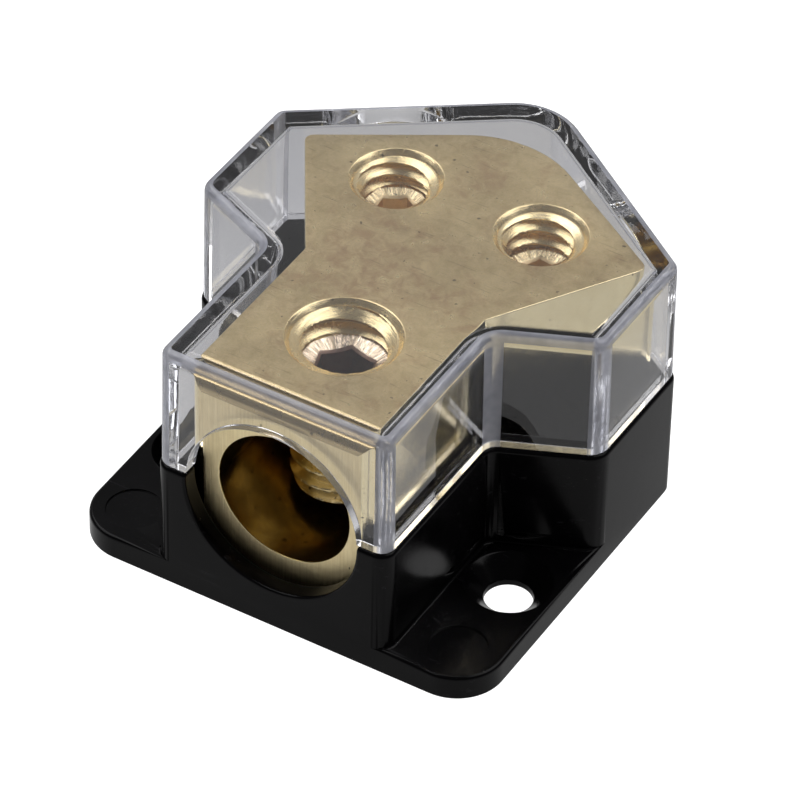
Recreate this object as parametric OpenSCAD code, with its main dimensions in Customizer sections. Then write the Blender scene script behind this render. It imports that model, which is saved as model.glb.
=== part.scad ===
// Power distribution block: one thick cable in at the front, two thinner ones
// out at the back. A machined brass block is clamped in a moulded base with two
// mounting ears, under a clear cover that lifts off. All sizes are millimetres.

/* [Terminal block] */
// Height of the brass block
block_h = 17.8; // [15:0.1:24]
// Width of the block's stem, which takes the thick cable
stem_w = 15.4; // [14:0.1:20]
// From the block's front face to the point where the two arms meet the stem
hub_back = 15.85; // [14:0.05:20]
// Angle of each arm, and of its bore, away from the stem
arm_angle = 32; // [24:0.5:36]
// Width of each arm
arm_w = 13.7; // [12:0.1:15]
// From the meeting point to the arm's end face
arm_len = 17.1; // [15:0.1:21]
// Radius where the two end faces meet at the back
block_apex_r = 8.5; // [3:0.1:10]
// Radius on the arms' outer corners
arm_corner_r = 0.7; // [0.3:0.1:1.5]
// Radius on the stem's two upright front edges
stem_corner_r = 1.1; // [0.3:0.1:2]
// Radius along the front top edge
front_edge_r = 1.2; // [0.6:0.1:3]
// How far the base's rim, where the cover stands, lies above the block's middle
rim_rise = 0.3; // [0:0.05:0.8]
// How far the bores lie below the base's rim
bore_drop = 0.4; // [0:0.05:1]

/* [Cable bores] */
// Bore for the thick cable
input_bore_d = 11.1; // [9:0.1:12]
// Bore for each thin cable
output_bore_d = 7.6; // [6:0.1:8.6]
// How much the reamed mouth is wider than the drilled bore behind it, per side
mouth_step = 0.2; // [0.17:0.01:0.3]
// Drilled length past the far side of the clamp screw
bore_runout = 1; // [0.4:0.1:1.6]
// Point angle of the drill that leaves the blind end
drill_angle = 118; // [100:1:140]
// Flat that the drill's chisel edge leaves at the point
drill_flat_d = 0.6; // [0.3:0.1:1]

/* [Set screws] */
// Thread diameter of the thick cable's clamp screw
input_thread_d = 7.94; // [6:0.01:9]
// Thread diameter of the thin cables' clamp screws
output_thread_d = 6.35; // [5:0.01:7]
// From the block's front face to the input screw's axis
input_screw_back = 8.2; // [7:0.1:9.5]
// From an arm's end face to its screw's axis
output_screw_back = 5.3; // [4.6:0.1:6.5]
// Depth of the input screw below the block's top
input_recess = 2.45; // [1.5:0.05:3]
// Depth of the left output screw below the block's top
left_recess = 2.7; // [2.6:0.05:4]
// Depth of the right output screw below the block's top
right_recess = 3.35; // [2.6:0.05:4]
// Room left under the input screw above the floor of its bore
input_clamp_gap = 1.45; // [1.3:0.05:3]
// Room left under the deeper output screw above the floor of its bore
output_clamp_gap = 2.6; // [1.5:0.05:3.5]
// Hexagon socket of the input screw, across flats
input_hex = 3.97; // [3:0.01:4.5]
// Hexagon socket of the output screws, across flats
output_hex = 3.17; // [2.5:0.01:3.6]
// Radial running clearance of the threads
thread_clear = 0.05; // [0.02:0.01:0.09]
// Width of the chamfer round each tapped hole
tap_chamfer = 0.45; // [0.2:0.05:0.8]

/* [Base] */
// Thickness of the mounting plate and of the floor under the block
plate_t = 2.1; // [1.6:0.1:3.5]
// Radius of the plate's front corners
plate_corner_r = 3.9; // [2:0.1:5]
// Thickness of the base's upright walls
base_wall = 1.6; // [1.2:0.1:2.4]
// Gap between the block and the walls beside its stem
side_gap = 0.7; // [0.3:0.05:1.5]
// Gap between the block and the front wall
front_gap = 0.4; // [0.2:0.05:1]
// Least gap between the arms' corners and the side walls
head_gap = 1.13; // [0.5:0.01:2]
// From the arms' corners back to where the side walls end
side_past = 0.3; // [0:0.05:2]
// From the arms' roots forward to the housing's inner corners
neck_room = 2.85; // [2:0.05:4]
// How far the shoulders slope back from the inner corners
shoulder_rise = 3.4; // [2:0.1:5]
// Angle of the housing's back walls
back_angle = 35.5; // [32:0.5:42]
// Radius of the front corners
corner_r = 1.3; // [0.8:0.1:2]
// Radius of the shoulder corners
shoulder_r = 1.8; // [1:0.1:2.5]
// Radius of the inner corners
neck_r = 1.2; // [0.5:0.1:2]
// Radius at the back of the housing
apex_r = 5.5; // [4:0.1:8]

/* [Mounting holes] */
// Diameter of the mounting holes
mount_hole_d = 3.7; // [3:0.1:4.5]
// Diameter of their countersinks
mount_sink_d = 6.7; // [5.4:0.1:7.6]
// Flat land between a countersink and the housing's wall
mount_land = 0.35; // [0.2:0.05:1]
// Least width of plate outside a countersink
mount_edge = 0.55; // [0.4:0.05:2]
// From the inner corners forward to the line of the holes
mount_ahead = 2.9; // [2.5:0.1:4]
// Diameter of the ejector-pin marks on the plate
eject_d = 4.4; // [3:0.1:5]
// Depth of the ejector-pin marks
eject_depth = 0.12; // [0.05:0.01:0.3]
// From the plate's edges to the middle of an ejector-pin mark
eject_inset = 3.55; // [3:0.05:4]

/* [Cable openings] */
// Opening in the housing for the thick cable
input_opening_d = 14.6; // [13:0.1:15]
// Opening in the housing for each thin cable
output_opening_d = 10; // [9:0.1:11.5]

/* [Cover] */
// Thickness of the cover's side walls
cover_wall = 1.4; // [1:0.1:1.6]
// Thickness of the cover's top
cover_top_t = 1.3; // [1:0.1:2]
// Gap between the block and the cover's ceiling
cover_gap = 0.8; // [0.15:0.05:1.2]
// How far the cover stands in from the base's outline
cover_inset = 0.15; // [0.1:0.05:0.4]
// Radius round the cover's top edge
cover_edge_r = 1; // [0.5:0.1:1.2]
// Draft angle of the cover's walls
cover_draft = 0.7; // [0:0.1:1]

/* [Fixing screw] */
// Diameter of the screw that holds the block from below
fix_d = 3; // [2.5:0.1:3.5]
// Diameter of its countersunk head
fix_head_d = 5.5; // [4.6:0.1:6]
// Length of the fixing screw over its head
fix_len = 6; // [5:0.1:7.5]
// Radial clearance round the fixing screw
fix_clear = 0.05; // [0.02:0.01:0.2]

/* [Hidden] */
$fn = 72;
eps = 0.02;

// Heights
block_top = plate_t + block_h;
joint_z = plate_t + block_h / 2 + rim_rise;    // where the cover stands on the base
bore_z = joint_z - bore_drop;
cover_z = block_top + cover_gap + cover_top_t;

// The block in plan, measured from the plate's front edge
block_front = base_wall + front_gap;
hub_y = block_front + hub_back;
sa = sin(arm_angle);
ca = cos(arm_angle);
arm_root_y = hub_y - arm_w / 2 * sa + (stem_w / 2 - arm_w / 2 * ca) * ca / sa;
arm_corner = [arm_len * sa + arm_w / 2 * ca, hub_y + arm_len * ca - arm_w / 2 * sa];
block_apex_y = hub_y + arm_len / ca;

// The housing in plan
stem_x = stem_w / 2 + side_gap + base_wall;
neck_y = arm_root_y - neck_room;
mount_x = stem_x + mount_land + mount_sink_d / 2;
mount_y = neck_y - mount_ahead;
head_x = max(arm_corner[0] + head_gap + base_wall, mount_x + mount_sink_d / 2 + mount_edge);
shoulder_y = neck_y + shoulder_rise;
side_y = arm_corner[1] + side_past;
apex_y = side_y + head_x * tan(back_angle);
overall_d = apex_y - apex_r * (1 / cos(back_angle) - 1);

// Screws
input_screw_y = block_front + input_screw_back;
output_screw_at = arm_len - output_screw_back;
input_len = block_top - bore_z + input_bore_d / 2 - mouth_step - input_recess - input_clamp_gap;
output_len = block_top - bore_z + output_bore_d / 2 - mouth_step - max(left_recess, right_recess)
    - output_clamp_gap;
input_turn = 47;                        // where each socket's flats happen to stop
left_turn = 33;
right_turn = 58;
fix_y = hub_y + fix_d;                  // in the solid metal behind the input bore
fix_under = 0.1;                        // the head sits this far inside the plate

// A corner list is [x, y, radius, steps], anticlockwise. Offset d moves every
// edge inwards, and each corner keeps a concentric arc.
function at(c, i) = c[(i + len(c)) % len(c)];
function flat2(p) = [p[0], p[1]];
function unit2(v) = v / norm(v);
function inward(c, i) = let (v = unit2(flat2(at(c, i + 1)) - flat2(at(c, i)))) [-v[1], v[0]];
function miter(n, m) = (n + m) / (1 + n * m);
function turn(n, m) = atan2(n[0] * m[1] - n[1] * m[0], n * m);
function spin(v, a) = [v[0] * cos(a) - v[1] * sin(a), v[0] * sin(a) + v[1] * cos(a)];
function corner_arc(c, i, d) = let (
        n = inward(c, i - 1), m = inward(c, i), t = turn(n, m), s = t > 0 ? 1 : -1,
        v = flat2(c[i]) + d * miter(n, m), r = max(c[i][2] - s * d, 0.15), k = c[i][3],
        o = v + s * r * miter(n, m)
    ) [for (j = [0:k]) o - s * r * spin(n, t * j / k)];
function outline(c, d = 0) = [for (i = [0:len(c) - 1]) each corner_arc(c, i, d)];

// The same outline with true arcs for every radius from 1 mm up: tangent points
// joined by chords, with a disc at each outer corner and a fillet at each inner one
module arc_outline(c, d = 0) {
    idx = [0:len(c) - 1];
    polygon([for (i = idx) let (s = turn(inward(c, i - 1), inward(c, i)) > 0 ? 1 : -1,
        a = corner_arc(c, i, d)) each c[i][2] - s * d < 1 ? a
            : s > 0 ? [a[0], a[len(a) - 1]]
            : [flat2(c[i]) + d * miter(inward(c, i - 1), inward(c, i))]]);
    for (i = idx) let (n = inward(c, i - 1), m = inward(c, i), s = turn(n, m) > 0 ? 1 : -1,
        v = flat2(c[i]) + d * miter(n, m), r = c[i][2] - s * d, o = v + s * r * miter(n, m))
        if (r >= 1) {
            if (s > 0) translate(o) circle(r);
            if (s < 0) difference() {
                polygon([v + 0.05 * unit2(n + m), o + r * n, o, o + r * m]);
                translate(o) circle(r);
            }
        }
}

// Solid through a list of [height, offset] sections of one outline. The outline is
// symmetric and starts at its front left corner, so each end is closed with
// strips between the points of its right side and their mirror points.
module loft(c, sections) {
    rings = [for (s = sections) [for (p = outline(c, s[1])) [p[0], p[1], s[0]]]];
    n = len(rings[0]);
    top = (len(rings) - 1) * n;
    k = c[0][3];
    strips = [for (j = [k + 1:k + n / 2 - 1]) let (a = (2 * k + 1 - j + n) % n, b = (a + n - 1) % n)
        [j, j + 1, b, a]];
    polyhedron([for (r = rings) each r], concat(
        strips,
        [for (i = [0:len(rings) - 2], j = [0:n - 1]) each [
            [i * n + j, (i + 1) * n + j, (i + 1) * n + (j + 1) % n],
            [i * n + j, (i + 1) * n + (j + 1) % n, i * n + (j + 1) % n]]],
        [for (q = strips) [for (j = [3:-1:0]) top + q[j]]]));
}

housing = [
    [-stem_x, 0, corner_r, 6], [stem_x, 0, corner_r, 6],
    [stem_x, neck_y, neck_r, 5], [head_x, shoulder_y, shoulder_r, 6],
    [head_x, side_y, corner_r, 5], [0, apex_y, apex_r, 13], [-head_x, side_y, corner_r, 5],
    [-head_x, shoulder_y, shoulder_r, 6], [-stem_x, neck_y, neck_r, 5]];

block_plan = [
    [-stem_w / 2, block_front, stem_corner_r, 4], [stem_w / 2, block_front, stem_corner_r, 4],
    [stem_w / 2, arm_root_y, 0.5, 4], [arm_corner[0], arm_corner[1], arm_corner_r, 4],
    [0, block_apex_y, block_apex_r, 8], [-arm_corner[0], arm_corner[1], arm_corner_r, 4],
    [-stem_w / 2, arm_root_y, 0.5, 4]];

module centred() translate([0, -overall_d / 2, 0]) children();

// Runs children along an arm: +Z points out of the arm's end face from the hub
module on_arm(side) translate([0, hub_y, bore_z]) rotate([0, 0, -side * arm_angle])
    rotate([-90, 0, 0]) children();

// Blind bore that starts at z = 0 and runs along +Z: reamed mouth, drilled length
// past the clamp screw, and the drill's point
module cable_bore(d, screw_back, thread_d) {
    r = d / 2;
    drill_r = r - mouth_step;
    mouth = screw_back - thread_d / 2 - 0.2;
    deep = screw_back + thread_d / 2 + bore_runout;
    tip = deep + (drill_r - drill_flat_d / 2) / tan(drill_angle / 2);
    rotate_extrude() polygon([[0, -1], [r, -1], [r, mouth], [drill_r, mouth], [drill_r, deep],
        [drill_flat_d / 2, tip], [0, tip]]);
}

module tapped_hole(d) rotate_extrude() polygon([[0, bore_z], [d / 2, bore_z],
    [d / 2, block_top - tap_chamfer], [d / 2 + tap_chamfer, block_top],
    [d / 2 + tap_chamfer, block_top + 1], [0, block_top + 1]]);

module cable_openings() {
    translate([0, -1, bore_z]) rotate([-90, 0, 0])
        cylinder(d = input_opening_d, h = block_front + 1 + 0.5);
    for (side = [-1, 1]) on_arm(side) translate([0, 0, arm_len - 0.3])
        cylinder(d = output_opening_d, h = base_wall * 4 + 2);
}

module base() centred() color("#1b1b1e") difference() {
    union() {
        linear_extrude(plate_t) {
            polygon([[-head_x, plate_corner_r], [-head_x + plate_corner_r, 0],
                [head_x - plate_corner_r, 0], [head_x, plate_corner_r],
                [head_x, side_y - corner_r - 1], [-head_x, side_y - corner_r - 1]]);
            for (side = [-1, 1])
                translate([side * (head_x - plate_corner_r), plate_corner_r])
                    circle(plate_corner_r);
        }
        linear_extrude(joint_z) arc_outline(housing);
    }
    translate([0, 0, plate_t]) linear_extrude(block_h) arc_outline(housing, base_wall);
    cable_openings();
    for (side = [-1, 1]) {
        translate([side * mount_x, mount_y, -1]) cylinder(d = mount_hole_d, h = plate_t + 2);
        translate([side * mount_x, mount_y, plate_t - (mount_sink_d - mount_hole_d) / 2])
            cylinder(d1 = mount_hole_d, d2 = mount_sink_d + 2,
                h = (mount_sink_d - mount_hole_d) / 2 + 1);
        translate([side * (head_x - eject_inset), eject_inset, plate_t - eject_depth])
            cylinder(d = eject_d, h = 1);
    }
    translate([0, fix_y, -1]) cylinder(d = fix_d + 4 * fix_clear, h = plate_t + 2);
    translate([0, fix_y, -eps]) cylinder(d1 = fix_head_d + 4 * fix_clear + 2 * fix_under,
        d2 = fix_d, h = (fix_head_d - fix_d) / 2 + 2 * fix_clear + fix_under);
}

// The block's side view, with its front top edge rounded
module block_side() {
    back = block_apex_y + 1;
    polygon([[block_front, plate_t], [back, plate_t], [back, block_top],
        [block_front + front_edge_r, block_top], [block_front, block_top - front_edge_r]]);
    translate([block_front + front_edge_r, block_top - front_edge_r]) circle(front_edge_r);
}

module terminal_block() centred() color("#b59a5c") difference() {
    intersection() {
        translate([0, 0, plate_t]) linear_extrude(block_h) arc_outline(block_plan);
        rotate([90, 0, 90]) translate([0, 0, -head_x]) linear_extrude(2 * head_x) block_side();
    }
    translate([0, block_front, bore_z]) rotate([-90, 0, 0])
        cable_bore(input_bore_d, input_screw_back, input_thread_d);
    translate([0, input_screw_y, 0]) tapped_hole(input_thread_d);
    for (side = [-1, 1]) {
        on_arm(side) translate([0, 0, arm_len]) rotate([180, 0, 0])
            cable_bore(output_bore_d, output_screw_back, output_thread_d);
        translate([side * output_screw_at * sa, hub_y + output_screw_at * ca, 0])
            tapped_hole(output_thread_d);
    }
    translate([0, fix_y, plate_t - 1]) cylinder(d = fix_d + 2 * fix_clear, h = 1 + fix_len - plate_t + 1);
}

// Countersunk screw that holds the block down, driven from under the plate
module fixing_screw() centred() color("#a9abad") translate([0, fix_y, fix_under]) difference() {
    union() {
        cylinder(d1 = fix_head_d, d2 = fix_d, h = (fix_head_d - fix_d) / 2);
        cylinder(d = fix_d, h = fix_len - 0.3);
        translate([0, 0, fix_len - 0.3]) cylinder(d1 = fix_d, d2 = fix_d - 0.6, h = 0.3);
    }
    for (a = [0, 90]) rotate([0, 0, a]) translate([-fix_d * 0.45, -0.3, -1])
        cube([fix_d * 0.9, 0.6, 1 + fix_d * 0.35]);
}

// Set screw with its top face at z = 0: chamfered ends and a dished hexagon socket
module set_screw(thread_d, length, hex, turned) color("#c08a55") {
    r = thread_d / 2 - thread_clear;
    top_bevel = thread_d * 0.07;
    tip_bevel = thread_d * 0.1;
    dish_r = hex * 0.72;
    dish = dish_r - hex / 2;
    difference() {
        union() {
            translate([0, 0, -top_bevel]) cylinder(r1 = r, r2 = r - top_bevel, h = top_bevel);
            translate([0, 0, tip_bevel - length]) cylinder(r = r, h = length - tip_bevel - top_bevel);
            translate([0, 0, -length]) cylinder(r1 = r - tip_bevel, r2 = r, h = tip_bevel);
        }
        rotate([0, 0, turned]) translate([0, 0, -hex * 0.95])
            cylinder(d = hex / cos(30), h = hex, $fn = 6);
        translate([0, 0, -dish]) cylinder(r1 = dish_r - dish, r2 = dish_r + eps, h = dish + eps);
    }
}

module input_set_screw() centred() translate([0, input_screw_y, block_top - input_recess])
    set_screw(input_thread_d, input_len, input_hex, input_turn);

module output_screw(side, recess, turned) centred()
    translate([side * output_screw_at * sa, hub_y + output_screw_at * ca, block_top - recess])
        set_screw(output_thread_d, output_len, output_hex, turned);

module output_set_screw_left() output_screw(-1, left_recess, left_turn);

module output_set_screw_right() output_screw(1, right_recess, right_turn);

module cover() centred() color("#c9d2dc", 0.35) {
    lean = tan(cover_draft);
    inner_r = 0.5;                      // radius inside the top edge
    difference() {
        loft(housing, [[joint_z, cover_inset],
            for (a = [0:18:90]) let (z = cover_z - cover_edge_r * (1 - sin(a)))
                [z, cover_inset + (z - joint_z) * lean + cover_edge_r * (1 - cos(a))]]);
        loft(housing, [[joint_z - 1, cover_inset + cover_wall - lean],
            for (a = [0:30:90]) let (z = cover_z - cover_top_t - inner_r * (1 - sin(a)))
                [z, cover_inset + cover_wall + (z - joint_z) * lean + inner_r * (1 - cos(a))]]);
        cable_openings();
    }
}

base();
terminal_block();
fixing_screw();
input_set_screw();
output_set_screw_left();
output_set_screw_right();
cover();
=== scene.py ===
import math

import bmesh
import bpy
import numpy as np
from mathutils import Matrix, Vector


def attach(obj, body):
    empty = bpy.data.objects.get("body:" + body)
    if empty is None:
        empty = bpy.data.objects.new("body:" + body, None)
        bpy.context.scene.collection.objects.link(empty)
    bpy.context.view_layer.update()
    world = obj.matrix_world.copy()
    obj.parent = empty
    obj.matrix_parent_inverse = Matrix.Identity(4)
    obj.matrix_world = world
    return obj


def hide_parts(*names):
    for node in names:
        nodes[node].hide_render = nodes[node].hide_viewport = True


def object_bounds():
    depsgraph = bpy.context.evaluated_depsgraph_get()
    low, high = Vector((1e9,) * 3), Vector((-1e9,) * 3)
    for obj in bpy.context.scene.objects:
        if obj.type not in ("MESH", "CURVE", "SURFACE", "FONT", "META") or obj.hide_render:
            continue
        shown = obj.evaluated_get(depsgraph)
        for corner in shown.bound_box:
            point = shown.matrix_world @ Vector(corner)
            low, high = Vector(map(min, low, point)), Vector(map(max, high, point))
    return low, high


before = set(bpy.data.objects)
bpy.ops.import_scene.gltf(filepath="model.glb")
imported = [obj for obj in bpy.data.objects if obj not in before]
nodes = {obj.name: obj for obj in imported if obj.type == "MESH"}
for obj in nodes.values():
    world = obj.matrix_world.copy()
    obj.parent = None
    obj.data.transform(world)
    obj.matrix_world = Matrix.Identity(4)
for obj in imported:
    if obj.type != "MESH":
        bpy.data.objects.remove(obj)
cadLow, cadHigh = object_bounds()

mm = 0.001
flatTurn = math.radians(0.6)
print("frame loaded:", sorted(nodes))


def toArray(values):
    return np.array(values, dtype=float)


def newObject(name, data):
    made = bpy.data.objects.new(name, data)
    bpy.context.scene.collection.objects.link(made)
    return made


def linkPiece(name, mesh, body, replaced):
    piece = newObject(name, mesh)
    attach(piece, body)
    if replaced:
        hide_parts(*replaced)
    return piece


def cleanMesh(mesh, within, joinFlat=True):
    # points less than this many metres apart become one, flat faces are made whole, all faces turn outwards
    bm = bmesh.new()
    bm.from_mesh(mesh)
    bmesh.ops.remove_doubles(bm, verts=bm.verts, dist=within)
    if joinFlat:
        bmesh.ops.dissolve_limit(bm, angle_limit=flatTurn, verts=bm.verts, edges=bm.edges)
    bmesh.ops.recalc_face_normals(bm, faces=bm.faces)
    bm.to_mesh(mesh)
    bm.free()


def makePiece(name, points, faces, body, replaced=(), finish=None):
    # points are in mm, and finish gives a material number for each face
    mesh = bpy.data.meshes.new(name)
    mesh.from_pydata(toArray(points) * mm, [], faces)
    if finish is not None:
        mesh.polygons.foreach_set("material_index", np.asarray(finish, dtype=np.int32))
    cleanMesh(mesh, 1e-7, joinFlat=False)
    return linkPiece(name, mesh, body, replaced)


def mergedCopy(node, name, body):
    # a copy of a CAD node, its loose triangles joined
    mesh = nodes[node].data.copy()
    mesh.name = name
    cleanMesh(mesh, 2e-6)
    mesh.materials.clear()
    return linkPiece(name, mesh, body, [node])


def gridFaces(rows, columns):
    # quads between the rows of a grid whose last column joins the first
    r, c = np.meshgrid(np.arange(rows - 1), np.arange(columns), indexing="ij")
    n = (c + 1) % columns
    quads = np.stack([r * columns + c, r * columns + n, (r + 1) * columns + n, (r + 1) * columns + c], axis=-1)
    return quads.reshape(-1, 4).tolist()


def shadeByAngle(piece, degrees):
    piece.data.polygons.foreach_set("use_smooth", [True] * len(piece.data.polygons))
    piece.data.set_sharp_from_angle(angle=math.radians(degrees))


def readMesh(mesh):
    # corner points and face middles in mm, and face normals
    points = np.empty(len(mesh.vertices) * 3)
    middle = np.empty(len(mesh.polygons) * 3)
    normal = np.empty(len(mesh.polygons) * 3)
    mesh.vertices.foreach_get("co", points)
    mesh.polygons.foreach_get("center", middle)
    mesh.polygons.foreach_get("normal", normal)
    return points.reshape(-1, 3) / mm, middle.reshape(-1, 3) / mm, normal.reshape(-1, 3)


def edgeTurns(mesh):
    # each edge's middle in mm, and the cosine between the two faces that meet there
    points, _, normal = readMesh(mesh)
    count = len(mesh.edges)
    ends = np.empty(count * 2, dtype=np.int64)
    mesh.edges.foreach_get("vertices", ends)
    sizes = np.empty(len(mesh.polygons), dtype=np.int64)
    mesh.polygons.foreach_get("loop_total", sizes)
    loopEdge = np.empty(len(mesh.loops), dtype=np.int64)
    mesh.loops.foreach_get("edge_index", loopEdge)
    owner = np.repeat(np.arange(len(sizes)), sizes)[np.argsort(loopEdge, kind="stable")]
    used = np.bincount(loopEdge, minlength=count)
    first = (np.cumsum(used) - used)[used == 2]
    turn = np.ones(count)
    turn[used == 2] = np.sum(normal[owner[first]] * normal[owner[first + 1]], axis=1)
    return points[ends.reshape(-1, 2)].mean(axis=1), turn


def softenEdges(piece, turn, sharpAngle, widths, segments):
    # a bevel, as wide in mm as widths says, on each edge that turns by more than sharpAngle degrees
    widths = np.where(turn < math.cos(math.radians(sharpAngle)), widths, 0.0)
    attribute = piece.data.attributes.new("bevel_weight_edge", "FLOAT", "EDGE")
    attribute.data.foreach_set("value", (widths / widths.max()).astype(np.float32))
    bevel = piece.modifiers.new("softEdges", "BEVEL")
    bevel.width = float(widths.max()) * mm
    bevel.segments = segments
    bevel.limit_method = "WEIGHT"
    bevel.use_clamp_overlap = False
    bevel.harden_normals = True


class Nodes:
    # short calls for building one node tree

    def __init__(self, tree):
        self.tree = tree

    def wire(self, source, target):
        # joins two sockets, or sets a plain value
        if isinstance(source, bpy.types.NodeSocket):
            self.tree.links.new(source, target)
        else:
            target.default_value = source

    def put(self, kind, inputs=None, **settings):
        node = self.tree.nodes.new(kind)
        for name, value in settings.items():
            setattr(node, name, value)
        for name, value in (inputs or {}).items():
            self.wire(value, node.inputs[name])
        return node

    def math(self, operation, a, b=0.0, clamp=False):
        return self.put("ShaderNodeMath", {0: a, 1: b}, operation=operation, use_clamp=clamp).outputs[0]

    def weighted(self, *terms):
        # the sum of each value times its weight
        total = None
        for value, weight in terms:
            term = self.math("MULTIPLY", value, weight)
            total = term if total is None else self.math("ADD", total, term)
        return total

    def mix(self, factor, a, b):
        return self.put("ShaderNodeMix", {0: factor, 6: a, 7: b}, data_type="RGBA").outputs[2]

    def ramp(self, value, low, high, lowValue=0.0, highValue=1.0):
        inputs = {"Value": value, "From Min": low, "From Max": high, "To Min": lowValue, "To Max": highValue}
        return self.put("ShaderNodeMapRange", inputs).outputs["Result"]

    def distance(self, vector, point):
        return self.put("ShaderNodeVectorMath", {0: vector, 1: point}, operation="DISTANCE").outputs["Value"]

    def place(self, vector, scale=(1, 1, 1), turn=(0, 0, 0), shift=(0, 0, 0)):
        turned = [math.radians(t) for t in turn]
        inputs = {"Vector": vector, "Scale": scale, "Location": shift, "Rotation": turned}
        return self.put("ShaderNodeMapping", inputs).outputs["Vector"]

    def noise(self, vector, scale, detail=2.0, roughness=0.5, distortion=0.0):
        inputs = {"Vector": vector, "Scale": scale, "Detail": detail, "Roughness": roughness,
                  "Distortion": distortion}
        return self.put("ShaderNodeTexNoise", inputs).outputs["Fac"]

    def millimetres(self):
        # the piece's own coordinates, in mm
        return self.place(self.put("ShaderNodeTexCoord").outputs["Object"], scale=(1 / mm, 1 / mm, 1 / mm))

    def use(self, group, **inputs):
        node = self.put("ShaderNodeGroup", node_tree=group)
        for name, value in inputs.items():
            self.wire(value, node.inputs[name])
        return node.outputs

    def principled(self, colour, roughness, height, settings):
        # the usual shader, with a bump whose height is in mm
        bump = self.put("ShaderNodeBump", {"Strength": 1.0, "Distance": mm, "Height": height}).outputs[0]
        inputs = {"Base Color": colour, "Roughness": roughness, "Normal": bump, **settings}
        return self.put("ShaderNodeBsdfPrincipled", inputs)

    def surface(self, shader):
        self.wire(shader.outputs[0], self.put("ShaderNodeOutputMaterial").inputs["Surface"])


def newGroup(name, inputs, outputs):
    group = bpy.data.node_groups.new(name, "ShaderNodeTree")
    for label, kind, value in inputs:
        socket = group.interface.new_socket(name=label, in_out="INPUT", socket_type="NodeSocket" + kind)
        if value is not None:
            socket.default_value = value
    for label, kind in outputs:
        group.interface.new_socket(name=label, in_out="OUTPUT", socket_type="NodeSocket" + kind)
    return group, group.nodes.new("NodeGroupInput").outputs, group.nodes.new("NodeGroupOutput").inputs


def newMaterial(name):
    material = bpy.data.materials.new(name)
    material.use_nodes = True
    material.node_tree.nodes.clear()
    return material, Nodes(material.node_tree)


# A noise is given by its scale, detail, roughness and distortion, and a range is the part of it that becomes 0
# to 1. Each direction of the hair scratches is a turn in degrees and a shift that gives it lines of its own.
hair = {"directions": ((14, 3.0), (62, 11.0), (108, 23.0), (151, 37.0)), "stretch": (0.35, 9.0, 9.0),
        "lineNoise": (0.5, 1.0, 0.4), "lineRange": (0.70, 0.77), "gapNoise": (0.5, 1.0),
        "gapRange": (0.5, 0.56)}
clouds = {"Blotch": {"noise": (0.22, 4.0, 0.6, 0.4), "range": (0.35, 0.65)},
          "Cloud": {"noise": (0.9, 6.0, 0.7, 0.6), "range": (0.35, 0.65)},
          "Grit": {"noise": (7.0, 3.0, 0.6), "range": (0.3, 0.7)}}
speck = {"wobbleScale": 4.0, "wobble": (0.3, 0.3, 0.3), "cellScale": 1.4}


def makeHairScratches():
    # thin broken lines in four directions: noise stretched along a line, its highest parts kept, and broken by
    # a slower noise
    inputs = [("Vector", "Vector", None), ("Amount", "Float", 0.5), ("Fineness", "Float", 1.0)]
    group, given, out = newGroup("hairScratches", inputs, [("Mask", "Float")])
    work = Nodes(group)
    scaled = work.put("ShaderNodeVectorMath", {0: given["Vector"], "Scale": given["Fineness"]},
                      operation="SCALE").outputs[0]
    total = None
    for turn, shift in hair["directions"]:
        flow = work.place(scaled, scale=hair["stretch"], turn=(0, 0, turn), shift=(shift, shift, 0))
        line = work.ramp(work.noise(flow, *hair["lineNoise"]), *hair["lineRange"])
        slow = work.noise(work.place(scaled, shift=(shift, 0, shift)), *hair["gapNoise"])
        line = work.math("MULTIPLY", line, work.ramp(slow, *hair["gapRange"]))
        total = line if total is None else work.math("MAXIMUM", total, line)
    work.wire(work.math("MULTIPLY", total, given["Amount"], clamp=True), out["Mask"])
    return group


def makeMottle():
    # handled metal: slow blotches, a finer cloud, and grit
    outputs = [(label, "Float") for label in clouds]
    group, given, out = newGroup("mottle", [("Vector", "Vector", None)], outputs)
    work = Nodes(group)
    for label, pattern in clouds.items():
        work.wire(work.ramp(work.noise(given["Vector"], *pattern["noise"]), *pattern["range"]), out[label])
    return group


def makeSpecks():
    # small dark pits: the middles of a few cells out of many
    inputs = [("Vector", "Vector", None), ("Share", "Float", 0.06), ("Size", "Float", 0.12)]
    group, given, out = newGroup("specks", inputs, [("Mask", "Float")])
    work = Nodes(group)
    wobble = work.put("ShaderNodeTexNoise", {"Vector": given["Vector"], "Scale": speck["wobbleScale"],
                                             "Detail": 2.0})
    shift = {0: wobble.outputs["Color"], 1: speck["wobble"], 2: given["Vector"]}
    moved = work.put("ShaderNodeVectorMath", shift, operation="MULTIPLY_ADD")
    cells = work.put("ShaderNodeTexVoronoi", {"Vector": moved.outputs[0], "Scale": speck["cellScale"]})
    chosen = work.put("ShaderNodeSeparateColor", {0: cells.outputs["Color"]})
    few = work.math("LESS_THAN", chosen.outputs[0], given["Share"])
    size = work.math("MULTIPLY", chosen.outputs[1], given["Size"])
    near = work.math("LESS_THAN", cells.outputs["Distance"], size)
    work.wire(work.math("MULTIPLY", few, near), out["Mask"])
    return group


hairScratches = makeHairScratches()
mottle = makeMottle()
specks = makeSpecks()
print("shared effects ready")

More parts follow.
